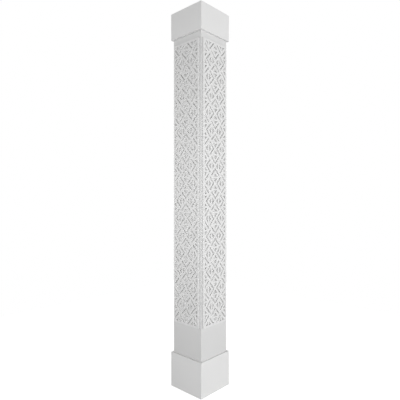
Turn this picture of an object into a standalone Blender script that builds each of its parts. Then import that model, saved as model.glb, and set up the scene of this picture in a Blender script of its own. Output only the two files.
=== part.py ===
"""Fretwork column: a square box shaft with a plain collar at each end and a pierced panel on each face.

Lengths are metres and +Z is up. The column stands on z = 0 with its axis on x = y = 0.
"""

import math

import bmesh
import bpy
from mathutils import Vector
from mathutils.geometry import delaunay_2d_cdt

# Column
COLUMN_HEIGHT = 2.4384
SHAFT_WIDTH = 0.244475
SHAFT_WALL = 0.0127
CLEARANCE = 0.0003

# Collars
CAPITAL_THICKNESS = 0.0127
CAPITAL_HEIGHT = 0.17145
BASE_THICKNESS = 0.0127
BASE_HEIGHT = 0.22225

# Fretwork panels
PANEL_THICKNESS = 0.009525
PANEL_SETBACK = 0.0111125
BAND_ABOVE_PANEL = 0.04445
BAND_BELOW_PANEL = 0.2032
PANEL_BORDER = 0.0127
REPEATS = 8

# Fret pattern: straps between the chevron slots, and a ring of board round each diamond hole
STRAP_WIDTH = 0.0146
SLOT_WIDTH = 0.0086
RING_WIDTH = 0.0138

# What follows from those sizes
PANEL_BOTTOM = BASE_HEIGHT + BAND_BELOW_PANEL
PANEL_TOP = COLUMN_HEIGHT - CAPITAL_HEIGHT - BAND_ABOVE_PANEL
PANEL_WIDTH = SHAFT_WIDTH - 2 * PANEL_SETBACK
REPEAT_WIDTH = PANEL_WIDTH - 2 * PANEL_BORDER
REPEAT_HEIGHT = (PANEL_TOP - PANEL_BOTTOM - 2 * PANEL_BORDER) / REPEATS

# The pattern is drawn on a repeat of one by one. A step of one there, square to a
# diagonal line, is this long on the panel.
DIAGONAL_STEP = 1 / math.hypot(1 / REPEAT_WIDTH, 1 / REPEAT_HEIGHT)
STRAP_EDGE = STRAP_WIDTH / 2 / DIAGONAL_STEP
SLOT_EDGE = STRAP_EDGE + SLOT_WIDTH / DIAGONAL_STEP
DIAMOND_START = RING_WIDTH / DIAGONAL_STEP - STRAP_EDGE
DIAMOND_END = 0.5 - SLOT_EDGE - RING_WIDTH / DIAGONAL_STEP

WHITE = (0.83, 0.83, 0.83)
FACES = ("front", "right", "back", "left")


def clear_scene():
    for obj in list(bpy.data.objects):
        bpy.data.objects.remove(obj)


def plastic(name, roughness):
    """White moulded board with a soft sheen."""
    material = bpy.data.materials.new(name)
    material.use_nodes = True
    shader = material.node_tree.nodes["Principled BSDF"]
    shader.inputs["Base Color"].default_value = (*WHITE, 1)
    shader.inputs["Roughness"].default_value = roughness
    shader.inputs["Metallic"].default_value = 0
    return material


def add_object(name, bm, material):
    mesh = bpy.data.meshes.new(name)
    bm.to_mesh(mesh)
    bm.free()
    mesh.materials.append(material)
    obj = bpy.data.objects.new(name, mesh)
    bpy.context.collection.objects.link(obj)
    return obj


def square_ring(name, inner_width, outer_width, bottom, top, material):
    """An upright square tube, open at both ends."""
    bm = bmesh.new()
    rings = []
    for width in (inner_width, outer_width):
        half = width / 2
        corners = ((-half, -half), (half, -half), (half, half), (-half, half))
        rings.append([bm.verts.new((x, y, bottom)) for x, y in corners])
    inner, outer = rings
    for i in range(4):
        j = (i + 1) % 4
        bm.faces.new((inner[i], outer[i], outer[j], inner[j]))
    swept = bmesh.ops.extrude_face_region(bm, geom=bm.faces[:], use_keep_orig=True)
    lifted = [part for part in swept["geom"] if isinstance(part, bmesh.types.BMVert)]
    bmesh.ops.translate(bm, verts=lifted, vec=(0, 0, top - bottom))
    bmesh.ops.recalc_face_normals(bm, faces=bm.faces[:])
    return add_object(name, bm, material)


def quarter_turned(point, turns):
    """A point of the repeat turned by quarter turns about the origin."""
    x, y = point
    for _ in range(turns % 4):
        x, y = -y, x
    return x, y


def chevron_slot(centre, turns):
    """A V-shaped slot with its point near a crossing and its arms opening along +Y before it is turned."""
    end = 0.5 - STRAP_EDGE
    near, far = STRAP_EDGE, SLOT_EDGE
    right = [((end - near) / 2, (end + near) / 2), ((end - far) / 2, (end + far) / 2)]
    left = [(-x, y) for x, y in reversed(right)]
    outline = [(0, near), *right, (0, far), *left]
    return [placed(point, centre, turns) for point in outline]


def diamond_hole(centre, turns):
    """The hole that a chevron slot closes round, out along +X before it is turned."""
    middle = (DIAMOND_START + DIAMOND_END) / 2
    reach = (DIAMOND_END - DIAMOND_START) / 2
    outline = [(DIAMOND_END, 0), (middle, reach), (DIAMOND_START, 0), (middle, -reach)]
    return [placed(point, centre, turns) for point in outline]


def placed(point, centre, turns):
    x, y = quarter_turned(point, turns)
    return x + centre[0], y + centre[1]


def pattern_crossings():
    """Every crossing of the pattern, and the quarter turns of its two slots and two diamonds.

    A crossing stands every half repeat, and each is turned a quarter from its neighbours.
    """
    for row in range(2 * REPEATS + 1):
        for column in (-1, 0, 1):
            yield (column / 2, row / 2), (row + column + 1) % 2


def clipped(outline, limit, keep_above):
    """The part of an outline above or below a level line."""
    side = 1 if keep_above else -1
    kept = []
    for i, (x, y) in enumerate(outline):
        last_x, last_y = outline[i - 1]
        depth, last_depth = side * (y - limit), side * (last_y - limit)
        if depth * last_depth < 0:
            share = last_depth / (last_depth - depth)
            kept.append((last_x + share * (x - last_x), limit))
        if depth >= 0:
            kept.append((x, y))
    return kept


def panel_holes():
    """Outlines of the holes in one panel, in metres, from its centre line and its lower edge.

    A hole that a side border would halve is left solid, and the end borders cut theirs across.
    """
    for centre, turns in pattern_crossings():
        for shape in (chevron_slot, diamond_hole):
            for half_turn in (0, 2):
                outline = shape(centre, turns + half_turn)
                outline = clipped(clipped(outline, 0, True), REPEATS, False)
                if len(outline) > 2 and max(abs(x) for x, _ in outline) < 0.5:
                    yield [(x * REPEAT_WIDTH, y * REPEAT_HEIGHT + PANEL_BORDER) for x, y in outline]


def pierced_sheet():
    """The panel's front as a flat mesh on the plane y = 0, with its foot on z = 0."""
    half, height = PANEL_WIDTH / 2, PANEL_TOP - PANEL_BOTTOM
    points = [Vector(p) for p in ((-half, 0), (half, 0), (half, height), (-half, height))]
    edges = [(0, 1), (1, 2), (2, 3), (3, 0)]
    holes = []
    for outline in panel_holes():
        first = len(points)
        count = len(outline)
        points.extend(Vector(p) for p in outline)
        edges.extend((first + i, first + (i + 1) % count) for i in range(count))
        holes.append(list(range(first, first + count)))
    flat, _, triangles, _, _, inside = delaunay_2d_cdt(points, edges, holes, 0, 1e-7, True)
    bm = bmesh.new()
    verts = [bm.verts.new((x, 0, z)) for x, z in flat]
    for triangle, hole in zip(triangles, inside):
        if not hole:
            bm.faces.new([verts[i] for i in triangle])
    bmesh.ops.recalc_face_normals(bm, faces=bm.faces[:])
    return bm


def add_panel(face, turns, material):
    """One pierced panel, made for the front face and turned about the column's axis."""
    bm = pierced_sheet()
    swept = bmesh.ops.extrude_face_region(bm, geom=bm.faces[:], use_keep_orig=True)
    deepened = [part for part in swept["geom"] if isinstance(part, bmesh.types.BMVert)]
    bmesh.ops.translate(bm, verts=deepened, vec=(0, PANEL_THICKNESS, 0))
    bmesh.ops.recalc_face_normals(bm, faces=bm.faces[:])
    panel_front = -SHAFT_WIDTH / 2 - CLEARANCE - PANEL_THICKNESS
    bmesh.ops.translate(bm, verts=bm.verts[:], vec=(0, panel_front, PANEL_BOTTOM))
    panel = add_object(f"{face}_fretwork", bm, material)
    panel.rotation_euler.z = turns * math.pi / 2
    return panel


def main():
    clear_scene()
    board = plastic("white_board", 0.45)
    collar_inside = SHAFT_WIDTH + 2 * CLEARANCE
    square_ring("shaft", SHAFT_WIDTH - 2 * SHAFT_WALL, SHAFT_WIDTH, 0, COLUMN_HEIGHT, board)
    square_ring(
        "capital",
        collar_inside,
        SHAFT_WIDTH + 2 * CAPITAL_THICKNESS,
        COLUMN_HEIGHT - CAPITAL_HEIGHT,
        COLUMN_HEIGHT,
        board,
    )
    square_ring("base", collar_inside, SHAFT_WIDTH + 2 * BASE_THICKNESS, 0, BASE_HEIGHT, board)
    for turns, face in enumerate(FACES):
        add_panel(face, turns, board)


main()
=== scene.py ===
"""Fretwork column: the finished boards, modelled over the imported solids.

Lengths are metres. The shaft's axis is x = y = 0, the front face looks along -Y and the floor is z = 0.
"""

import math

import bpy
from mathutils import Matrix, Vector


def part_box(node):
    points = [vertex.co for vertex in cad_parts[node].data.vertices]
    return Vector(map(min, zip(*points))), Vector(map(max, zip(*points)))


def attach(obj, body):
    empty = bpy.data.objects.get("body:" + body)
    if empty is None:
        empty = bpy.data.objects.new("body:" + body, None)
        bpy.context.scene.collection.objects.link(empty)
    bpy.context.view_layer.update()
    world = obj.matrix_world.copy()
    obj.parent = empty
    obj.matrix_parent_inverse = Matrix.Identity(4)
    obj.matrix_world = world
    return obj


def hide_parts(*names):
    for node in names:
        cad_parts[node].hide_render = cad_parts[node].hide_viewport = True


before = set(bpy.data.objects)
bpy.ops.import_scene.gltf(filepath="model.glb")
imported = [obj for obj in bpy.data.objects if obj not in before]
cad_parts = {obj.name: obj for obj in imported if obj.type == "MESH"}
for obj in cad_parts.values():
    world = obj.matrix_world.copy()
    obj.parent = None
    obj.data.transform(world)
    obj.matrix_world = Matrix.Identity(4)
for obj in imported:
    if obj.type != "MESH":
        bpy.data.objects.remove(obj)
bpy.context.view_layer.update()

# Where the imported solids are
SHAFT_LOW, SHAFT_HIGH = (Vector(corner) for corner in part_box("shaft"))
PANEL_LOW, PANEL_HIGH = (Vector(corner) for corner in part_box("front_fretwork"))
COLUMN_HEIGHT = SHAFT_HIGH.z
FACES = ("front", "right", "back", "left")

# Boards: an arris is an eased edge
SHAFT_WALL = 0.0127
CLEARANCE = 0.0003
ARRIS = 0.0008
ARRIS_STEPS = 3
PANEL_BORDER = 0.0127
PANEL_ARRIS = 0.0005
PANEL_ARRIS_STEPS = 2

# Fret pattern: straps between slots, rings round the diamonds and a bar across each diamond
REPEATS = 8
STRAP_WIDTH = 0.0146
SLOT_WIDTH = 0.0086
RING_WIDTH = 0.0138
BAR_WIDTH = 0.0114
CUTTER_RADIUS = 0.0012
CORNER_STEPS = 3
CUT_MARGIN = 0.002

# One repeat of the pattern on the panel. Then, on a repeat of one by one, the distances of its
# lines from a crossing.
REPEAT_WIDTH = PANEL_HIGH.x - PANEL_LOW.x - 2 * PANEL_BORDER
REPEAT_HEIGHT = (PANEL_HIGH.z - PANEL_LOW.z - 2 * PANEL_BORDER) / REPEATS
HALF_REPEAT = 0.5
DIAGONAL_STEP = 1 / math.hypot(1 / REPEAT_WIDTH, 1 / REPEAT_HEIGHT)
STRAP_EDGE = STRAP_WIDTH / 2 / DIAGONAL_STEP
SLOT_EDGE = STRAP_EDGE + SLOT_WIDTH / DIAGONAL_STEP
DIAMOND_START = RING_WIDTH / DIAGONAL_STEP - STRAP_EDGE
DIAMOND_END = HALF_REPEAT - SLOT_EDGE - RING_WIDTH / DIAGONAL_STEP

# Picking: the share of a face's normal on an axis, at least where it looks along that axis and at
# most where it looks across it, and then what still counts as on a plane and as straight
LOOKS_ALONG = 0.9
LOOKS_ACROSS = 0.4
TOUCH = 1e-5
STRAIGHT = math.radians(1)

# Finishes: the white of the board, its sheen and the fine texture of its surface
SHAFT_FINISH = {"white": 0.715, "roughness": 0.44, "specular": 0.5, "grain": 800, "relief": 0.15}
COLLAR_FINISH = {"white": 0.815, "roughness": 0.42, "specular": 0.5, "grain": 800, "relief": 0.15}
FRET_FINISH = {"white": 0.78, "roughness": 0.46, "specular": 0.5, "grain": 800, "relief": 0.15}
CUT_FINISH = {"white": 0.85, "roughness": 0.7, "specular": 0.4, "grain": 1500, "relief": 0.25}
RELIEF_DEPTH = 0.0001
FINE_GRAIN_SHARE = 0.6
SHEEN_SPREAD = 0.06
SHADE_TINT = (0.97, 0.97, 0.963)
HAIRLINE_TINT = (0.62, 0.62, 0.6)
CUT_FINISH_SLOT = 1
FLAT_FACE_WEIGHT = 100

# A Mix node's sockets that share a name, by number
NUMBER_A, NUMBER_B = 2, 3
COLOUR_A, COLOUR_B, COLOUR_RESULT = 6, 7, 2

# Camera: the photograph's, solved from the column's silhouette
PHOTO_SIZE = 400
FOCAL_PIXELS = 382.6
SENSOR_WIDTH = 36
CAMERA_DISTANCE = 2.5237
CAMERA_HEIGHT = 1.2192
CAMERA_TURN = math.radians(47.08)
AXIS_PIXEL = (200.12, 200.05)

# Soft boxes: turn from +X in degrees, distance from the column's axis, width, height and power
CARD_LIGHTS = {
    "left_card": (184, 1.5, 0.8, 0.7, 6.4),
    "front_card": (225, 2.6, 1.0, 2.4, 14),
    "right_card": (296, 5.0, 1.9, 2.4, 101),
    "back_card": (60, 4.0, 1.6, 2.4, 24),
}

# Light from all round: its grey at heights from straight down, 0, to overhead, 1
SKY_GREYS = ((0.5, 0.45), (0.6, 0.9), (0.7, 0.8), (0.88, 0))

# Floor, a hair below the column so that the two don't share a plane
FLOOR_SIZE = 5
FLOOR_DROP = 0.0005
FLOOR_WHITE = 0.8
FLOOR_ROUGHNESS = 0.9
FLOOR_GLOW = 0.75


def deselect():
    bpy.ops.object.select_all(action="DESELECT")


def only(obj):
    """Makes one object the selected and active one."""
    deselect()
    obj.select_set(True)
    bpy.context.view_layer.objects.active = obj


def edit(mode):
    """Opens the active mesh in edit mode with nothing selected."""
    bpy.ops.object.mode_set(mode="EDIT")
    bpy.ops.mesh.select_mode(type=mode)
    bpy.ops.mesh.select_all(action="DESELECT")


def done():
    """Closes edit mode."""
    bpy.ops.object.mode_set(mode="OBJECT")


def pick(obj, mode, wanted):
    """Opens the active mesh in edit mode with the wanted faces or edges selected."""
    edit(mode)
    done()
    parts = obj.data.polygons if mode == "FACE" else obj.data.edges
    for part in parts:
        part.select = wanted(part)
    bpy.ops.object.mode_set(mode="EDIT")


def place_in_mesh(obj):
    """Moves the object's place, turn and size into its mesh."""
    only(obj)
    bpy.ops.object.transform_apply(location=True, rotation=True, scale=True)


def own_copy(obj):
    """A copy with its own mesh."""
    copy = obj.copy()
    copy.data = obj.data.copy()
    bpy.context.collection.objects.link(copy)
    return copy


def new_block(name, low, high):
    """A block from one corner to the other."""
    deselect()
    bpy.ops.mesh.primitive_cube_add(size=1, location=(low + high) / 2, scale=high - low)
    block = bpy.context.object
    block.name = name
    place_in_mesh(block)
    return block


def ease_edges(obj, edges, width, steps):
    """Rounds the picked edges as sanding does."""
    pick(obj, "EDGE", edges)
    bpy.ops.mesh.bevel(offset=width, segments=steps, affect="EDGES", clamp_overlap=True)
    done()


def square_tube(name, low, high, wall):
    """A block with a square tunnel from end to end and eased edges."""
    tube = new_block(name, low, high)
    pick(tube, "FACE", lambda face: abs(face.normal.z) > LOOKS_ALONG)
    bpy.ops.mesh.inset(thickness=wall, use_individual=True)
    bpy.ops.mesh.bridge_edge_loops()
    done()
    ease_edges(tube, lambda edge: True, ARRIS, ARRIS_STEPS)
    return tube


def smooth_arrises(obj):
    """Smooth corners between faces that stay flat."""
    only(obj)
    bpy.ops.object.shade_smooth()
    flat = obj.modifiers.new("flat_faces", "WEIGHTED_NORMAL")
    flat.weight = FLAT_FACE_WEIGHT
    bpy.ops.object.modifier_apply(modifier=flat.name)


def diamond(name, centre, reach):
    """A flat diamond on the pattern's square repeat, facing the front."""
    deselect()
    bpy.ops.mesh.primitive_circle_add(
        vertices=4,
        radius=reach,
        fill_type="NGON",
        location=(centre[0], 0, centre[1]),
        rotation=(math.pi / 2, 0, 0),
    )
    shape = bpy.context.object
    shape.name = name
    place_in_mesh(shape)
    return shape


def bisect(point, normal, clear):
    """Cuts the whole mesh at a plane, and may clear what lies on the side that its normal points to."""
    bpy.ops.mesh.select_all(action="SELECT")
    bpy.ops.mesh.bisect(plane_co=point, plane_no=normal, clear_outer=clear)


def dissolve_straight():
    """Takes out points that lie on straight lines, and lines inside flat faces."""
    bpy.ops.mesh.select_all(action="SELECT")
    bpy.ops.mesh.dissolve_limited(angle_limit=STRAIGHT)


def chevron_shape():
    """The slot above a crossing: the lower half of a diamond ring, with its arms cut at the next strap."""
    reach = HALF_REPEAT - STRAP_EDGE
    ring = diamond("chevron", (0, HALF_REPEAT), reach)
    pick(ring, "FACE", lambda face: True)
    bpy.ops.mesh.inset(thickness=(SLOT_EDGE - STRAP_EDGE) / math.sqrt(2))
    bpy.ops.mesh.delete(type="FACE")
    for side in (1, -1):
        bisect((side * reach, 0, 0), (side, 0, 1), clear=True)
    dissolve_straight()
    done()
    return ring


def barred_diamond_shape(bar):
    """The two triangles that a bar leaves of the diamond hole beside a crossing."""
    middle = (DIAMOND_START + DIAMOND_END) / 2
    hole = diamond("barred_diamond", (middle, 0), (DIAMOND_END - DIAMOND_START) / 2)
    edit("FACE")
    for side in (1, -1):
        bisect((middle + side * bar / 2, 0, 0), (1, 0, 0), clear=False)
    done()
    pick(hole, "FACE", lambda face: abs(face.center.x - middle) < bar / 4)
    bpy.ops.mesh.delete(type="FACE")
    done()
    return hole


def joined(pieces):
    """Makes the pieces one object, the first."""
    deselect()
    for piece in pieces:
        piece.select_set(True)
    bpy.context.view_layer.objects.active = pieces[0]
    bpy.ops.object.join()
    return pieces[0]


def turned_copy(obj, angle):
    """A copy turned in the panel's plane."""
    copy = own_copy(obj)
    copy.rotation_euler.y = angle
    place_in_mesh(copy)
    return copy


def crossing_shapes(turned):
    """The holes round one crossing, stretched from the square repeat to the panel's."""
    bar = BAR_WIDTH / (REPEAT_HEIGHT if turned else REPEAT_WIDTH)
    pair = joined([chevron_shape(), barred_diamond_shape(bar)])
    shapes = joined([pair, turned_copy(pair, math.pi)])
    shapes.rotation_euler.y = math.pi / 2 if turned else 0
    place_in_mesh(shapes)
    shapes.scale = (REPEAT_WIDTH, 1, REPEAT_HEIGHT)
    place_in_mesh(shapes)
    return shapes


def fret_cutter():
    """Every hole of a panel as one set of prisms, with the corners that a round cutter leaves.

    A crossing stands every half repeat, each turned a quarter from its neighbours.
    """
    patterns = [crossing_shapes(turned=False), crossing_shapes(turned=True)]
    field_foot = PANEL_LOW.z + PANEL_BORDER
    copies = []
    for row in range(2 * REPEATS + 1):
        for column in (-1, 0, 1):
            copy = own_copy(patterns[(row + column + 1) % 2])
            copy.location = (column * REPEAT_WIDTH / 2, 0, field_foot + row * REPEAT_HEIGHT / 2)
            copies.append(copy)
    for pattern in patterns:
        bpy.data.objects.remove(pattern)
    cutter = joined(copies)
    cutter.name = "fret_cutter"
    cutter.location.y = PANEL_LOW.y - CUT_MARGIN
    place_in_mesh(cutter)
    edit("VERT")
    half = REPEAT_WIDTH / 2
    field_head = PANEL_HIGH.z - PANEL_BORDER
    bisect((half, 0, 0), (1, 0, 0), clear=True)
    bisect((-half, 0, 0), (-1, 0, 0), clear=True)
    bisect((0, 0, field_head), (0, 0, 1), clear=True)
    bisect((0, 0, field_foot), (0, 0, -1), clear=True)
    dissolve_straight()
    bpy.ops.mesh.select_all(action="SELECT")
    bpy.ops.mesh.bevel(offset=CUTTER_RADIUS, segments=CORNER_STEPS, affect="VERTICES")
    bpy.ops.mesh.select_all(action="SELECT")
    depth = PANEL_HIGH.y - PANEL_LOW.y + 2 * CUT_MARGIN
    bpy.ops.mesh.extrude_region_move(TRANSFORM_OT_translate={"value": (0, depth, 0)})
    bpy.ops.mesh.select_all(action="SELECT")
    bpy.ops.mesh.normals_make_consistent(inside=False)
    done()
    return cutter


def fret_panel(skin, cut_finish):
    """The front panel: a board pierced by the fret, with its front edges eased."""
    board = new_block("front_fret_board", PANEL_LOW, PANEL_HIGH)
    board.data.materials.append(skin)
    board.data.materials.append(cut_finish)
    cutter = fret_cutter()
    only(board)
    fret = board.modifiers.new("fret", "BOOLEAN")
    fret.object = cutter
    fret.operation = "DIFFERENCE"
    fret.solver = "EXACT"
    bpy.ops.object.modifier_apply(modifier=fret.name)
    bpy.data.objects.remove(cutter)
    ease_front(board)
    paint_cut_walls(board)
    return board


def ease_front(board):
    """Eases the board's front edges, round its outside and round every hole."""
    front = PANEL_LOW.y + TOUCH
    points = board.data.vertices
    walls = set()
    for face in board.data.polygons:
        if abs(face.normal.y) < LOOKS_ACROSS:
            walls.update(face.edge_keys)

    def front_edge(edge):
        return edge.key in walls and all(points[i].co.y < front for i in edge.vertices)

    ease_edges(board, front_edge, PANEL_ARRIS, PANEL_ARRIS_STEPS)


def paint_cut_walls(board):
    """Gives the walls of the holes the cut finish. The rest of the board keeps its moulded skin."""
    side = PANEL_HIGH.x - PANEL_BORDER / 2
    foot = PANEL_LOW.z + PANEL_BORDER / 2
    head = PANEL_HIGH.z - PANEL_BORDER / 2

    def cut_wall(face):
        inside = abs(face.center.x) < side and foot < face.center.z < head
        return inside and abs(face.normal.y) < LOOKS_ACROSS

    pick(board, "FACE", cut_wall)
    board.active_material_index = CUT_FINISH_SLOT
    bpy.ops.object.material_slot_assign()
    done()


def all_panels(skin, cut_finish):
    """The front panel, and copies of it turned to the other faces."""
    first = fret_panel(skin, cut_finish)
    panels = [first]
    for turns, face in enumerate(FACES[1:], 1):
        panel = own_copy(first)
        panel.name = f"{face}_fret_board"
        panel.data.transform(Matrix.Rotation(turns * math.pi / 2, 4, "Z"))
        panels.append(panel)
    return panels


def grey(value):
    return (value, value, value, 1)


def tinted(white, tint):
    """A grey of the white's strength, coloured by a tint."""
    return (*(white * part for part in tint), 1)


def new_group(name, inputs, outputs):
    """A shader node group with named sockets, and its input and output nodes."""
    group = bpy.data.node_groups.new(name, "ShaderNodeTree")
    for socket, kind, value in inputs:
        made = group.interface.new_socket(name=socket, in_out="INPUT", socket_type=kind)
        made.default_value = value
    for socket, kind in outputs:
        group.interface.new_socket(name=socket, in_out="OUTPUT", socket_type=kind)
    return group, group.nodes.new("NodeGroupInput"), group.nodes.new("NodeGroupOutput")


def own_place(tree):
    """Where a point is on its piece, in metres."""
    return tree.nodes.new("ShaderNodeTexCoord").outputs["Object"]


def noise(tree, coordinates, scale, detail):
    """Clouds from 0 to 1."""
    node = tree.nodes.new("ShaderNodeTexNoise")
    node.inputs["Detail"].default_value = detail
    tree.links.new(coordinates, node.inputs["Vector"])
    tree.links.new(scale, node.inputs["Scale"])
    return node.outputs["Fac"]


def math_node(tree, operation):
    node = tree.nodes.new("ShaderNodeMath")
    node.operation = operation
    return node


def mix_numbers(tree, factor, low, high):
    """A number that goes from low to high with the factor."""
    node = tree.nodes.new("ShaderNodeMix")
    node.data_type = "FLOAT"
    tree.links.new(factor, node.inputs["Factor"])
    tree.links.new(low, node.inputs[NUMBER_A])
    tree.links.new(high, node.inputs[NUMBER_B])
    return node.outputs[0]


def mix_from_colour(tree, factor, colour):
    """A Mix node that leaves a colour as the factor grows. Its second colour is set by the caller."""
    node = tree.nodes.new("ShaderNodeMix")
    node.data_type = "RGBA"
    tree.links.new(factor, node.inputs["Factor"])
    tree.links.new(colour, node.inputs[COLOUR_A])
    return node


def sheen_group():
    """Satin sheen that wanders a little over a board."""
    group, given, out = new_group(
        "satin_sheen",
        [
            ("Low", "NodeSocketFloat", 0.36),
            ("High", "NodeSocketFloat", 0.5),
            ("Scale", "NodeSocketFloat", 9.0),
        ],
        [("Roughness", "NodeSocketFloat")],
    )
    cloud = noise(group, own_place(group), given.outputs["Scale"], detail=4)
    sheen = mix_numbers(group, cloud, given.outputs["Low"], given.outputs["High"])
    group.links.new(sheen, out.inputs["Roughness"])
    return group


def skin_group():
    """The slight orange peel of moulded board, as a height."""
    group, given, out = new_group(
        "moulded_skin",
        [("Scale", "NodeSocketFloat", 800.0), ("Broad Scale", "NodeSocketFloat", 60.0)],
        [("Height", "NodeSocketFloat")],
    )
    place = own_place(group)
    fine = noise(group, place, given.outputs["Scale"], detail=3)
    broad = noise(group, place, given.outputs["Broad Scale"], detail=2)
    total = math_node(group, "MULTIPLY_ADD")
    total.inputs[1].default_value = FINE_GRAIN_SHARE
    group.links.new(fine, total.inputs[0])
    group.links.new(broad, total.inputs[2])
    group.links.new(total.outputs[0], out.inputs["Height"])
    return group


def seam_group():
    """Where mitred boards meet at the column's corners: 1 on the hairline, 0 off it."""
    group, given, out = new_group(
        "mitre_seam",
        [("Width", "NodeSocketFloat", 0.0003)],
        [("Mask", "NodeSocketFloat")],
    )
    split = group.nodes.new("ShaderNodeSeparateXYZ")
    group.links.new(own_place(group), split.inputs[0])
    reaches = []
    for axis in "XY":
        reach = math_node(group, "ABSOLUTE")
        group.links.new(split.outputs[axis], reach.inputs[0])
        reaches.append(reach.outputs[0])
    off = math_node(group, "SUBTRACT")
    gap = math_node(group, "ABSOLUTE")
    near = group.nodes.new("ShaderNodeMapRange")
    near.inputs["To Min"].default_value = 1
    near.inputs["To Max"].default_value = 0
    group.links.new(reaches[0], off.inputs[0])
    group.links.new(reaches[1], off.inputs[1])
    group.links.new(off.outputs[0], gap.inputs[0])
    group.links.new(gap.outputs[0], near.inputs["Value"])
    group.links.new(given.outputs["Width"], near.inputs["From Max"])
    group.links.new(near.outputs[0], out.inputs["Mask"])
    return group


def tone_group():
    """White that is a little warmer and darker in slow patches."""
    group, given, out = new_group(
        "board_tone",
        [
            ("White", "NodeSocketColor", (0.8, 0.8, 0.8, 1)),
            ("Shade", "NodeSocketColor", (0.76, 0.76, 0.75, 1)),
            ("Scale", "NodeSocketFloat", 3.0),
        ],
        [("Color", "NodeSocketColor")],
    )
    cloud = noise(group, own_place(group), given.outputs["Scale"], detail=5)
    blend = mix_from_colour(group, cloud, given.outputs["White"])
    group.links.new(given.outputs["Shade"], blend.inputs[COLOUR_B])
    group.links.new(blend.outputs[COLOUR_RESULT], out.inputs["Color"])
    return group


def place_group(tree, group):
    node = tree.nodes.new("ShaderNodeGroup")
    node.node_tree = group
    return node


def add_mitres(tree, seam, white, colour, height):
    """Draws the mitres' hairlines over a colour, and sinks them in a height."""
    line = mix_from_colour(tree, seam, colour)
    line.inputs[COLOUR_B].default_value = tinted(white, HAIRLINE_TINT)
    sunk = math_node(tree, "SUBTRACT")
    tree.links.new(height, sunk.inputs[0])
    tree.links.new(seam, sunk.inputs[1])
    return line.outputs[COLOUR_RESULT], sunk.outputs[0]


def board_material(name, groups, finish, mitred=False):
    """White board: tone, sheen and skin from the shared groups, with hairlines where it is mitred."""
    material = bpy.data.materials.new(name)
    material.use_nodes = True
    tree = material.node_tree
    shader = tree.nodes["Principled BSDF"]
    shader.inputs["Specular IOR Level"].default_value = finish["specular"]
    white = finish["white"]
    tone = place_group(tree, groups["tone"])
    tone.inputs["White"].default_value = grey(white)
    tone.inputs["Shade"].default_value = tinted(white, SHADE_TINT)
    sheen = place_group(tree, groups["sheen"])
    sheen.inputs["Low"].default_value = finish["roughness"] - SHEEN_SPREAD
    sheen.inputs["High"].default_value = finish["roughness"] + SHEEN_SPREAD
    skin = place_group(tree, groups["skin"])
    skin.inputs["Scale"].default_value = finish["grain"]
    bump = tree.nodes.new("ShaderNodeBump")
    bump.inputs["Strength"].default_value = finish["relief"]
    bump.inputs["Distance"].default_value = RELIEF_DEPTH
    colour, height = tone.outputs["Color"], skin.outputs["Height"]
    if mitred:
        seam = place_group(tree, groups["seam"]).outputs["Mask"]
        colour, height = add_mitres(tree, seam, white, colour, height)
    tree.links.new(colour, shader.inputs["Base Color"])
    tree.links.new(sheen.outputs["Roughness"], shader.inputs["Roughness"])
    tree.links.new(height, bump.inputs["Height"])
    tree.links.new(bump.outputs["Normal"], shader.inputs["Normal"])
    return material


def stands_for(piece, node):
    """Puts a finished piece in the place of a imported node."""
    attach(piece, "root")
    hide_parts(node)


def add_camera():
    """The photograph's camera, level, with the column's axis at its own pixel."""
    data = bpy.data.cameras.new("photo_camera")
    data.sensor_width = SENSOR_WIDTH
    data.lens = FOCAL_PIXELS / PHOTO_SIZE * SENSOR_WIDTH
    data.shift_x = (PHOTO_SIZE / 2 - AXIS_PIXEL[0]) / PHOTO_SIZE
    data.shift_y = (AXIS_PIXEL[1] - PHOTO_SIZE / 2) / PHOTO_SIZE
    camera = bpy.data.objects.new("photo_camera", data)
    bpy.context.collection.objects.link(camera)
    camera.location = (
        -CAMERA_DISTANCE * math.sin(CAMERA_TURN),
        -CAMERA_DISTANCE * math.cos(CAMERA_TURN),
        CAMERA_HEIGHT,
    )
    camera.rotation_euler = (math.pi / 2, 0, -CAMERA_TURN)
    bpy.context.scene.camera = camera


def add_card_light(name, turn, distance, width, tall, power):
    """An upright soft box that faces the middle of the column's height."""
    data = bpy.data.lights.new(name, "AREA")
    data.shape = "RECTANGLE"
    data.size = width
    data.size_y = tall
    data.energy = power
    light = bpy.data.objects.new(name, data)
    bpy.context.collection.objects.link(light)
    angle = math.radians(turn)
    light.location = (distance * math.cos(angle), distance * math.sin(angle), COLUMN_HEIGHT / 2)
    light.rotation_euler = (math.pi / 2, 0, angle + math.pi / 2)


def add_floor():
    """Pale floor that reads as white to the eye and lights the column no more than paper does."""
    deselect()
    bpy.ops.mesh.primitive_plane_add(size=FLOOR_SIZE, location=(0, 0, -FLOOR_DROP))
    floor = bpy.context.object
    floor.name = "pale_floor"
    material = bpy.data.materials.new("pale_floor")
    material.use_nodes = True
    tree = material.node_tree
    shader = tree.nodes["Principled BSDF"]
    shader.inputs["Base Color"].default_value = grey(FLOOR_WHITE)
    shader.inputs["Roughness"].default_value = FLOOR_ROUGHNESS
    shader.inputs["Specular IOR Level"].default_value = 0
    shader.inputs["Emission Color"].default_value = grey(1)
    path = tree.nodes.new("ShaderNodeLightPath")
    glow = math_node(tree, "MULTIPLY")
    glow.inputs[1].default_value = FLOOR_GLOW
    tree.links.new(path.outputs["Is Camera Ray"], glow.inputs[0])
    tree.links.new(glow.outputs[0], shader.inputs["Emission Strength"])
    floor.data.materials.append(material)


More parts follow.
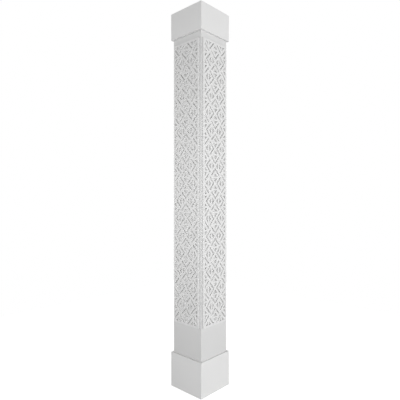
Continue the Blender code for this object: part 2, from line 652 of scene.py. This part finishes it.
def add_world():
    """White to the eye. As light it is a soft band above the horizon that fades out overhead."""
    world = bpy.data.worlds.new("white_studio")
    world.use_nodes = True
    tree = world.node_tree
    direction = tree.nodes.new("ShaderNodeTexCoord")
    split = tree.nodes.new("ShaderNodeSeparateXYZ")
    rise = tree.nodes.new("ShaderNodeMapRange")
    rise.inputs["From Min"].default_value = -1
    band = tree.nodes.new("ShaderNodeValToRGB")
    stops = band.color_ramp.elements
    lowest, *between, highest = SKY_GREYS
    for stop, (height, value) in zip(stops, (lowest, highest)):
        stop.position = height
        stop.color = grey(value)
    for height, value in between:
        stops.new(height).color = grey(value)
    lit = tree.nodes["Background"]
    seen = tree.nodes.new("ShaderNodeBackground")
    seen.inputs["Color"].default_value = grey(1)
    path = tree.nodes.new("ShaderNodeLightPath")
    blend = tree.nodes.new("ShaderNodeMixShader")
    tree.links.new(direction.outputs["Generated"], split.inputs[0])
    tree.links.new(split.outputs["Z"], rise.inputs["Value"])
    tree.links.new(rise.outputs[0], band.inputs[0])
    tree.links.new(band.outputs["Color"], lit.inputs["Color"])
    tree.links.new(path.outputs["Is Camera Ray"], blend.inputs["Fac"])
    tree.links.new(lit.outputs[0], blend.inputs[1])
    tree.links.new(seen.outputs[0], blend.inputs[2])
    tree.links.new(blend.outputs[0], tree.nodes["World Output"].inputs["Surface"])
    bpy.context.scene.world = world


def build_column():
    """Every board of the column, finished and put in its node's place."""
    groups = {"tone": tone_group(), "sheen": sheen_group(), "skin": skin_group(), "seam": seam_group()}
    shaft_board = board_material("shaft_board", groups, SHAFT_FINISH, mitred=True)
    collar_board = board_material("collar_board", groups, COLLAR_FINISH, mitred=True)
    fret_board = board_material("fret_board", groups, FRET_FINISH)
    cut_board = board_material("cut_board", groups, CUT_FINISH)
    shaft = square_tube("box_shaft", SHAFT_LOW, SHAFT_HIGH, SHAFT_WALL)
    smooth_arrises(shaft)
    shaft.data.materials.append(shaft_board)
    stands_for(shaft, "shaft")
    for node in ("capital", "base"):
        low, high = (Vector(corner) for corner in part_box(node))
        wall = SHAFT_LOW.x - CLEARANCE - low.x
        collar = square_tube(f"{node}_collar", low, high, wall)
        smooth_arrises(collar)
        collar.data.materials.append(collar_board)
        stands_for(collar, node)
    for panel, face in zip(all_panels(fret_board, cut_board), FACES):
        stands_for(panel, f"{face}_fretwork")


build_column()
add_camera()
add_floor()
add_world()
for card, setting in CARD_LIGHTS.items():
    add_card_light(card, *setting)
bpy.context.scene.view_settings.view_transform = "Standard"
